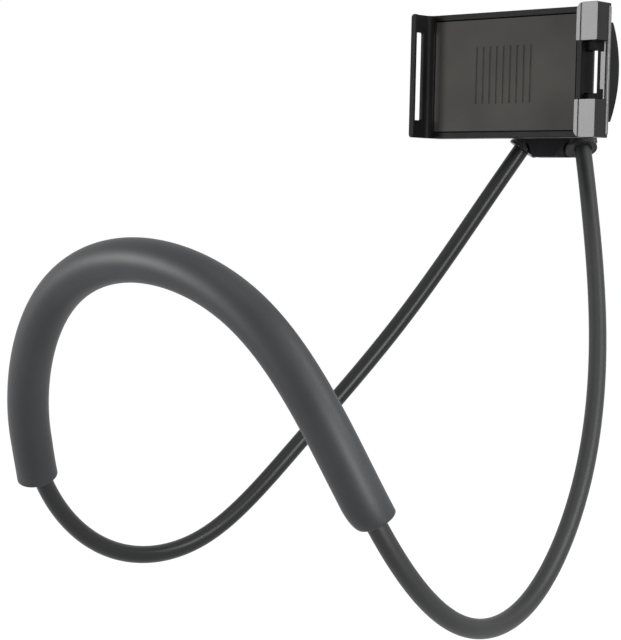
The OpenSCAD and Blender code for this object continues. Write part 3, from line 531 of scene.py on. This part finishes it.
# %% Sleeve: far end
# over cut_long the rings shift along the tube, by the square of the nearness, most on cut_side
cut_long, cut_deep, cut_side = 16 * mm, 4.2 * mm, np.array([-0.129, -0.991, 0.024])
out_of_pad = np.diff(pad_grid[[2, 0]].mean(1), axis=0)[0]
out_of_pad /= np.linalg.norm(out_of_pad)
spokes = pad_grid - pad_grid.mean(1, keepdims=True)
facing = (1 + spokes @ cut_side / np.linalg.norm(spokes, axis=2)) / 2
from_far_end = pad_runs + pad_left
shorter = cut_deep * np.clip(1 - from_far_end / cut_long, 0, 1) ** 2
pad_grid -= out_of_pad * (shorter[:, None] * facing)[..., None]
# over off_long the skin moves aside, by the nearness to the power of one and a half
off_long, off_far, off_side = 26 * mm, 2.1 * mm, np.array([-0.625, -0.619, -0.468])
aside = off_far * np.clip(1 - from_far_end[skin] / off_long, 0, 1) ** 1.5
pad_grid[skin] += off_side * aside[:, None, None]

sleeve = surface("foam_sleeve", pad_grid, foam, closed_along=True)
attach(sleeve, "neck_frame")
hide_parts("neck_pad")

# %% [markdown]
# ## Springs
# Two extension springs pull the jaw in. Each is one drawn wire with a hook round a post, eighteen
# curls and a hook round a peg. Blender's curves sweep a round wire along any line without twisting
# it, which a grid in fixed directions can't do on a curl, so the line is computed and the curve
# does the rest. The curls lie evenly between the two hooks.

# %% Springs
wire, curl_r, hook_r, hook_turn, curls = 0.8 * mm, 2.1 * mm, 1.75 * mm, 1.5 * np.pi, 18
hook_points, curl_points = 30, 24


def spring_line(post_x, peg_x):
    """Hooks are arcs of radius hook_r in the plane of X and Z; the curls follow
    (x, curl_r sin a, -curl_r cos a) while x and a grow evenly. They start three radii past a hook."""
    arc = np.linspace(0, hook_turn, hook_points) - np.pi / 2
    hook = hook_r * np.stack([np.cos(arc), np.zeros(hook_points), np.sin(arc)], 1)
    share = np.linspace(0, 1, curl_points * curls + 1)
    inset = hook_r + 3 * curl_r
    angle = 2 * np.pi * curls * share
    curl = np.stack([post_x + inset + (peg_x - post_x - 2 * inset) * share,
                     curl_r * np.sin(angle), -curl_r * np.cos(angle)], 1)
    return np.vstack([hook[::-1] * [-1, 1, 1] + [post_x, 0, 0], curl, hook + [peg_x, 0, 0]])


def spring_piece(name, node):
    """A round wire swept along a spring's line between the two pins that the node lies between."""
    low, high = map(np.array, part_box(node))
    middle = (low + high) / 2
    post_x = low[0] + hook_r + wire / 2
    peg_x = high[0] - hook_r - wire / 2
    line = spring_line(post_x, peg_x) + [0, middle[1], middle[2]]
    path = bpy.data.curves.new(name, "CURVE")
    path.dimensions = "3D"
    path.bevel_depth = wire / 2
    path.bevel_resolution = 2
    path.use_fill_caps = True
    stroke = path.splines.new("POLY")
    stroke.points.add(len(line) - 1)
    stroke.points.foreach_set("co", np.hstack([line, np.ones((len(line), 1))]).astype(np.float32).ravel())
    holder = bpy.data.objects.new(name + "_path", path)
    made = piece(name, bpy.data.meshes.new_from_object(holder), spring_wire)
    bpy.data.objects.remove(holder)
    bpy.data.curves.remove(path)
    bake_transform(made)
    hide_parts(node)


spring_piece("spring_above", "spring_upper")
spring_piece("spring_below", "spring_lower")

# %% [markdown]
# ## Moulded pieces with soft edges
# Nothing that leaves a mould has a sharp edge, and it is the thin bright line along each edge that
# tells the eye how big a piece is. The model's own solids have the right shape, so a copy of each
# is merged, its flat faces are joined up again, and a Bevel modifier rounds its edges by the
# amount that the real mould has. The shading would then bulge over large flat faces, so a Weighted
# Normal modifier lets the largest face at each corner decide.

# %% Dressed copies of the model's solids
merge_gap, flat_angle, edge_angle = 0.02 * mm, 1, 32  # angles in degrees


def dressed(node, name, material, edge_mm, segments):
    """A merged copy of a node with edges rounded by edge_mm, which replaces it and rides where it does."""
    work = bmesh.new()
    work.from_mesh(nodes[node].data)
    bmesh.ops.remove_doubles(work, verts=work.verts, dist=merge_gap)
    bmesh.ops.dissolve_degenerate(work, edges=work.edges, dist=merge_gap)
    bmesh.ops.dissolve_limit(work, angle_limit=np.radians(flat_angle), verts=work.verts, edges=work.edges)
    mesh = bpy.data.meshes.new(name)
    work.to_mesh(mesh)
    work.free()
    made = piece(name, mesh, material, edge_angle)
    soften = made.modifiers.new("soft_edges", "BEVEL")
    soften.width = edge_mm * mm
    soften.segments = segments
    soften.limit_method = "ANGLE"
    soften.angle_limit = np.radians(edge_angle)
    soften.use_clamp_overlap = False
    level = made.modifiers.new("flat_faces", "WEIGHTED_NORMAL")
    level.mode = "FACE_AREA"
    level.weight = 100
    level.keep_sharp = True
    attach(made, nodes[node]["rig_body"])
    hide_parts(node)


# %% Moulded pieces
for node, name, material, edge_mm in (
        ("tray_body", "tray", abs_tray, 0.35),
        ("back_cover", "rear_cover", abs_rear, 0.3),
        ("sliding_jaw", "jaw_lobes", abs_jaw, 0.2),
        ("slider_yoke", "slider", abs_matte, 0.4),
        ("hub_front_shell", "hub_front", abs_shell, 0.35),
        ("hub_rear_shell", "hub_rear", abs_shell, 0.35),
        ("collar_left", "flange_left", abs_gloss, 0.3),
        ("collar_right", "flange_right", abs_gloss, 0.3),
        ("lock_nut", "locking_ring", acetal, 0.35),
        ("ball_socket", "socket", acetal, 0.25)):
    dressed(node, name, material, edge_mm, segments=3)

# %% Sheet and screws
dressed("grip_pad", "grip_sheet", silicone, 0.18, segments=2)
for node in ("hub_screw", "socket_screws", "cover_screws", "jaw_screws"):
    dressed(node, node + "_soft", zinc_steel, 0.12, segments=2)

# %% [markdown]
# ## The bead along the jaw
# A narrow bead runs down the outer rear edge of the sliding jaw, where its cover meets the head
# behind it, and it catches the light over its whole height. It is a plain round bar, half sunk in
# the edge, so a stack of rings along Z is enough, with round ends from a quarter circle.

# %% Bead
low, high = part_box("sliding_jaw")
bead_r, bead_short, bead_sunk, tip_r = 1.3 * mm, 1.5 * mm, 0.4 * mm, 0.02 * mm
bead_sides, tip_rings = 32, 8
tip = np.linspace(0, np.pi / 2, tip_rings)
upper_z = high[2] - bead_short - bead_r * (1 - np.sin(tip))
lower_z = low[2] + bead_short + bead_r * (1 - np.sin(tip))
heights = np.concatenate([lower_z[::-1], upper_z])[:, None]
widths = tip_r + bead_r * np.concatenate([np.cos(tip)[::-1], np.cos(tip)])[:, None]
angle = np.linspace(0, 2 * np.pi, bead_sides, endpoint=False)
bead_grid = np.stack([
    high[0] - bead_sunk + widths * np.cos(angle),
    high[1] - bead_r + widths * np.sin(angle),
    np.repeat(heights, bead_sides, 1)], 2)
bead = surface("jaw_bead", bead_grid, abs_bead)
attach(bead, "slider")

# %% [markdown]
# ## Finishes of the pieces that stay as they are
# The remaining solids already have their true curves. They only need the right finish, which goes
# into their material slots, and smooth shading between their sharp edges.

# %% Finishes
finishes = {
    "ferrule_left": aluminium, "ferrule_right": aluminium, "ball_stud": acetal,
    "stud_nut": zinc_steel, "ball_cup": nylon, "spring_posts": zinc_steel, "spring_pegs": zinc_steel}
for node, material in finishes.items():
    mesh = nodes[node].data
    mesh.materials.clear()
    mesh.materials.append(material)
    mesh.polygons.foreach_set("use_smooth", np.ones(len(mesh.polygons), bool))
    mesh.set_sharp_from_angle(angle=np.radians(edge_angle))
print("finished as they are:", ", ".join(finishes))

# %% [markdown]
# ## Floor and background
# The photograph has a plain white ground. More light would bleach the object as well, so the white
# is only there for rays from the camera and for reflections, which the Light Path node tells from
# the rays that carry light. The floor is pale and keeps a faint shadow, and what is seen of it is
# lifted to white. The world is white in the same way, also through glass, and dimmer as a light.

# %% Floor
def any_ray(tree, kinds):
    """1 for rays of any of these kinds, and 0 for all others."""
    path = add(tree, "ShaderNodeLightPath")
    share = path.outputs[kinds[0]]
    for kind in kinds[1:]:
        either = add(tree, "ShaderNodeMath", {"operation": "MAXIMUM"}, {0: share, 1: path.outputs[kind]})
        share = either.outputs[0]
    return share


floor_half, floor_drop = 20, 0.12
floor_z = cad_box[0][2] - floor_drop
floor_corners = [(x * floor_half, y * floor_half, floor_z) for x, y in ((-1, -1), (1, -1), (1, 1), (-1, 1))]
floor_mesh = bpy.data.meshes.new("floor")
floor_mesh.from_pydata(floor_corners, [], [(0, 1, 2, 3)])
floor = bpy.data.objects.new("floor", floor_mesh)
bpy.context.scene.collection.objects.link(floor)
print("floor at", round(floor_z, 3), "m")

# %% Floor paint
floor_paint = bpy.data.materials.new("floor_white_paint")
floor_paint.use_nodes = True
tree = floor_paint.node_tree
tree.nodes.clear()
plain = add(tree, "ShaderNodeBsdfDiffuse", {"Color": linear("#c8c8c8")})
shadow_keeper = add(tree, "ShaderNodeBsdfDiffuse", {"Color": linear("#6a6a6a")})
glow = add(tree, "ShaderNodeEmission", {"Color": linear("#ffffff"), "Strength": 0.975})
lifted = add(tree, "ShaderNodeAddShader", links={0: shadow_keeper.outputs[0], 1: glow.outputs[0]})
seen = any_ray(tree, ("Is Camera Ray", "Is Glossy Ray"))
mix = add(tree, "ShaderNodeMixShader", links={"Fac": seen, 1: plain.outputs[0], 2: lifted.outputs[0]})
add(tree, "ShaderNodeOutputMaterial", links={"Surface": mix.outputs[0]})
floor_mesh.materials.append(floor_paint)
print(floor_paint.name)

# %% World
world = bpy.data.worlds.new("studio")
bpy.context.scene.world = world
world.use_nodes = True
tree = world.node_tree
tree.nodes.clear()
dim = add(tree, "ShaderNodeBackground", {"Color": linear("#ffffff"), "Strength": 0.2})
white = add(tree, "ShaderNodeBackground", {"Color": linear("#ffffff"), "Strength": 1.0})
seen = any_ray(tree, ("Is Camera Ray", "Is Glossy Ray", "Is Transmission Ray"))
mix = add(tree, "ShaderNodeMixShader", links={"Fac": seen, 1: dim.outputs[0], 2: white.outputs[0]})
add(tree, "ShaderNodeOutputWorld", links={"Surface": mix.outputs[0]})
bpy.context.scene.view_settings.view_transform = "Standard"
print(world.name)

# %% [markdown]
# ## Lamps
# Black plastic is drawn by what it mirrors, so the lamps are soft areas, each with its task. One on
# the wearer's left is mirrored by the glossy jaw and by the crown of the sleeve, one on the right
# lights the near arm, a narrow strip on that side draws the streak along the far arm, and a weak
# one above fills in.

# %% Lamps
def lamp(name, at, towards, size, power):
    """An area lamp at a place, facing another, size (width, height) in metres, power in watts."""
    facing = np.array(at) - towards
    facing /= np.linalg.norm(facing)
    across = np.cross((0, 0, 1), facing)
    across /= np.linalg.norm(across)
    made = bpy.data.objects.new(name, bpy.data.lights.new(name, "AREA"))
    made.data.shape = "RECTANGLE"
    made.data.size, made.data.size_y = size
    made.data.energy = power
    made.matrix_world = placed((across, np.cross(facing, across), facing), at)
    bpy.context.scene.collection.objects.link(made)
    print(name, power, "W")


loop_middle = np.array([0.0, 0.15, 0.0])
lamp("lamp_above", (0.3, -0.3, 1.4), loop_middle, (0.9, 0.7), 3)
lamp("lamp_left", (-0.66, -0.74, 0.16), loop_middle + [0, 0.06, 0.04], (0.3, 0.45), 9.5)
lamp("lamp_right", (0.95, 0.45, 0.65), loop_middle, (0.5, 0.5), 7)
lamp("lamp_strip", (1.07, -0.14, 0.02), loop_middle, (0.22, 0.6), 9.5)
